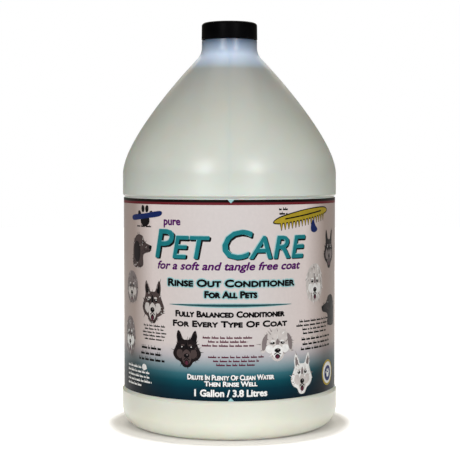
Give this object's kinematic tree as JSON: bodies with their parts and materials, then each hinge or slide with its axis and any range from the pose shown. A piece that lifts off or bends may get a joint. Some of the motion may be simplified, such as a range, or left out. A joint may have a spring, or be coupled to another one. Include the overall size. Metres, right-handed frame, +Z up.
{
  "type": "gallon jug",
  "caption": "Round translucent gallon jug with a moulded-in rear handle, short screw cap, wraparound label and its liquid.",
  "frame": {"origin": "centre of the base, on the plane of the foot ring", "axes": "+Z up along the neck, -Y towards the middle of the label, +Y towards the handle"},
  "size_m": [0.1546, 0.1546, 0.2889],
  "materials": {
    "natural_hdpe": "translucent blow-moulded HDPE with a soft sheen",
    "cap_plastic": "smooth black polypropylene",
    "liner_foam": "white polyethylene foam",
    "label_film": "printed film with a satin face",
    "liquid": "cloudy cream liquid"
  },
  "bodies": {
    "jug": {"jug_body": "natural_hdpe", "wrap_label": "label_film", "liquid_fill": "liquid"},
    "liner": {"cap_liner": "liner_foam"},
    "cap": {"screw_cap": "cap_plastic"}
  },
  "joints": [
    {"name": "cap_rise", "type": "slide", "parent": "jug", "child": "liner", "axis": [0, 0, 1], "range_m": [0, 0.0128]},
    {"name": "cap_turn", "type": "hinge", "parent": "liner", "child": "cap", "pos_m": [0, 0, 0.28], "axis": [0, 0, 1], "range_deg": [0, 1080]}
  ],
  "couplings": [
    {"joint": "cap_rise", "follows": "cap_turn", "m_per_rad": 0.00067377}
  ]
}
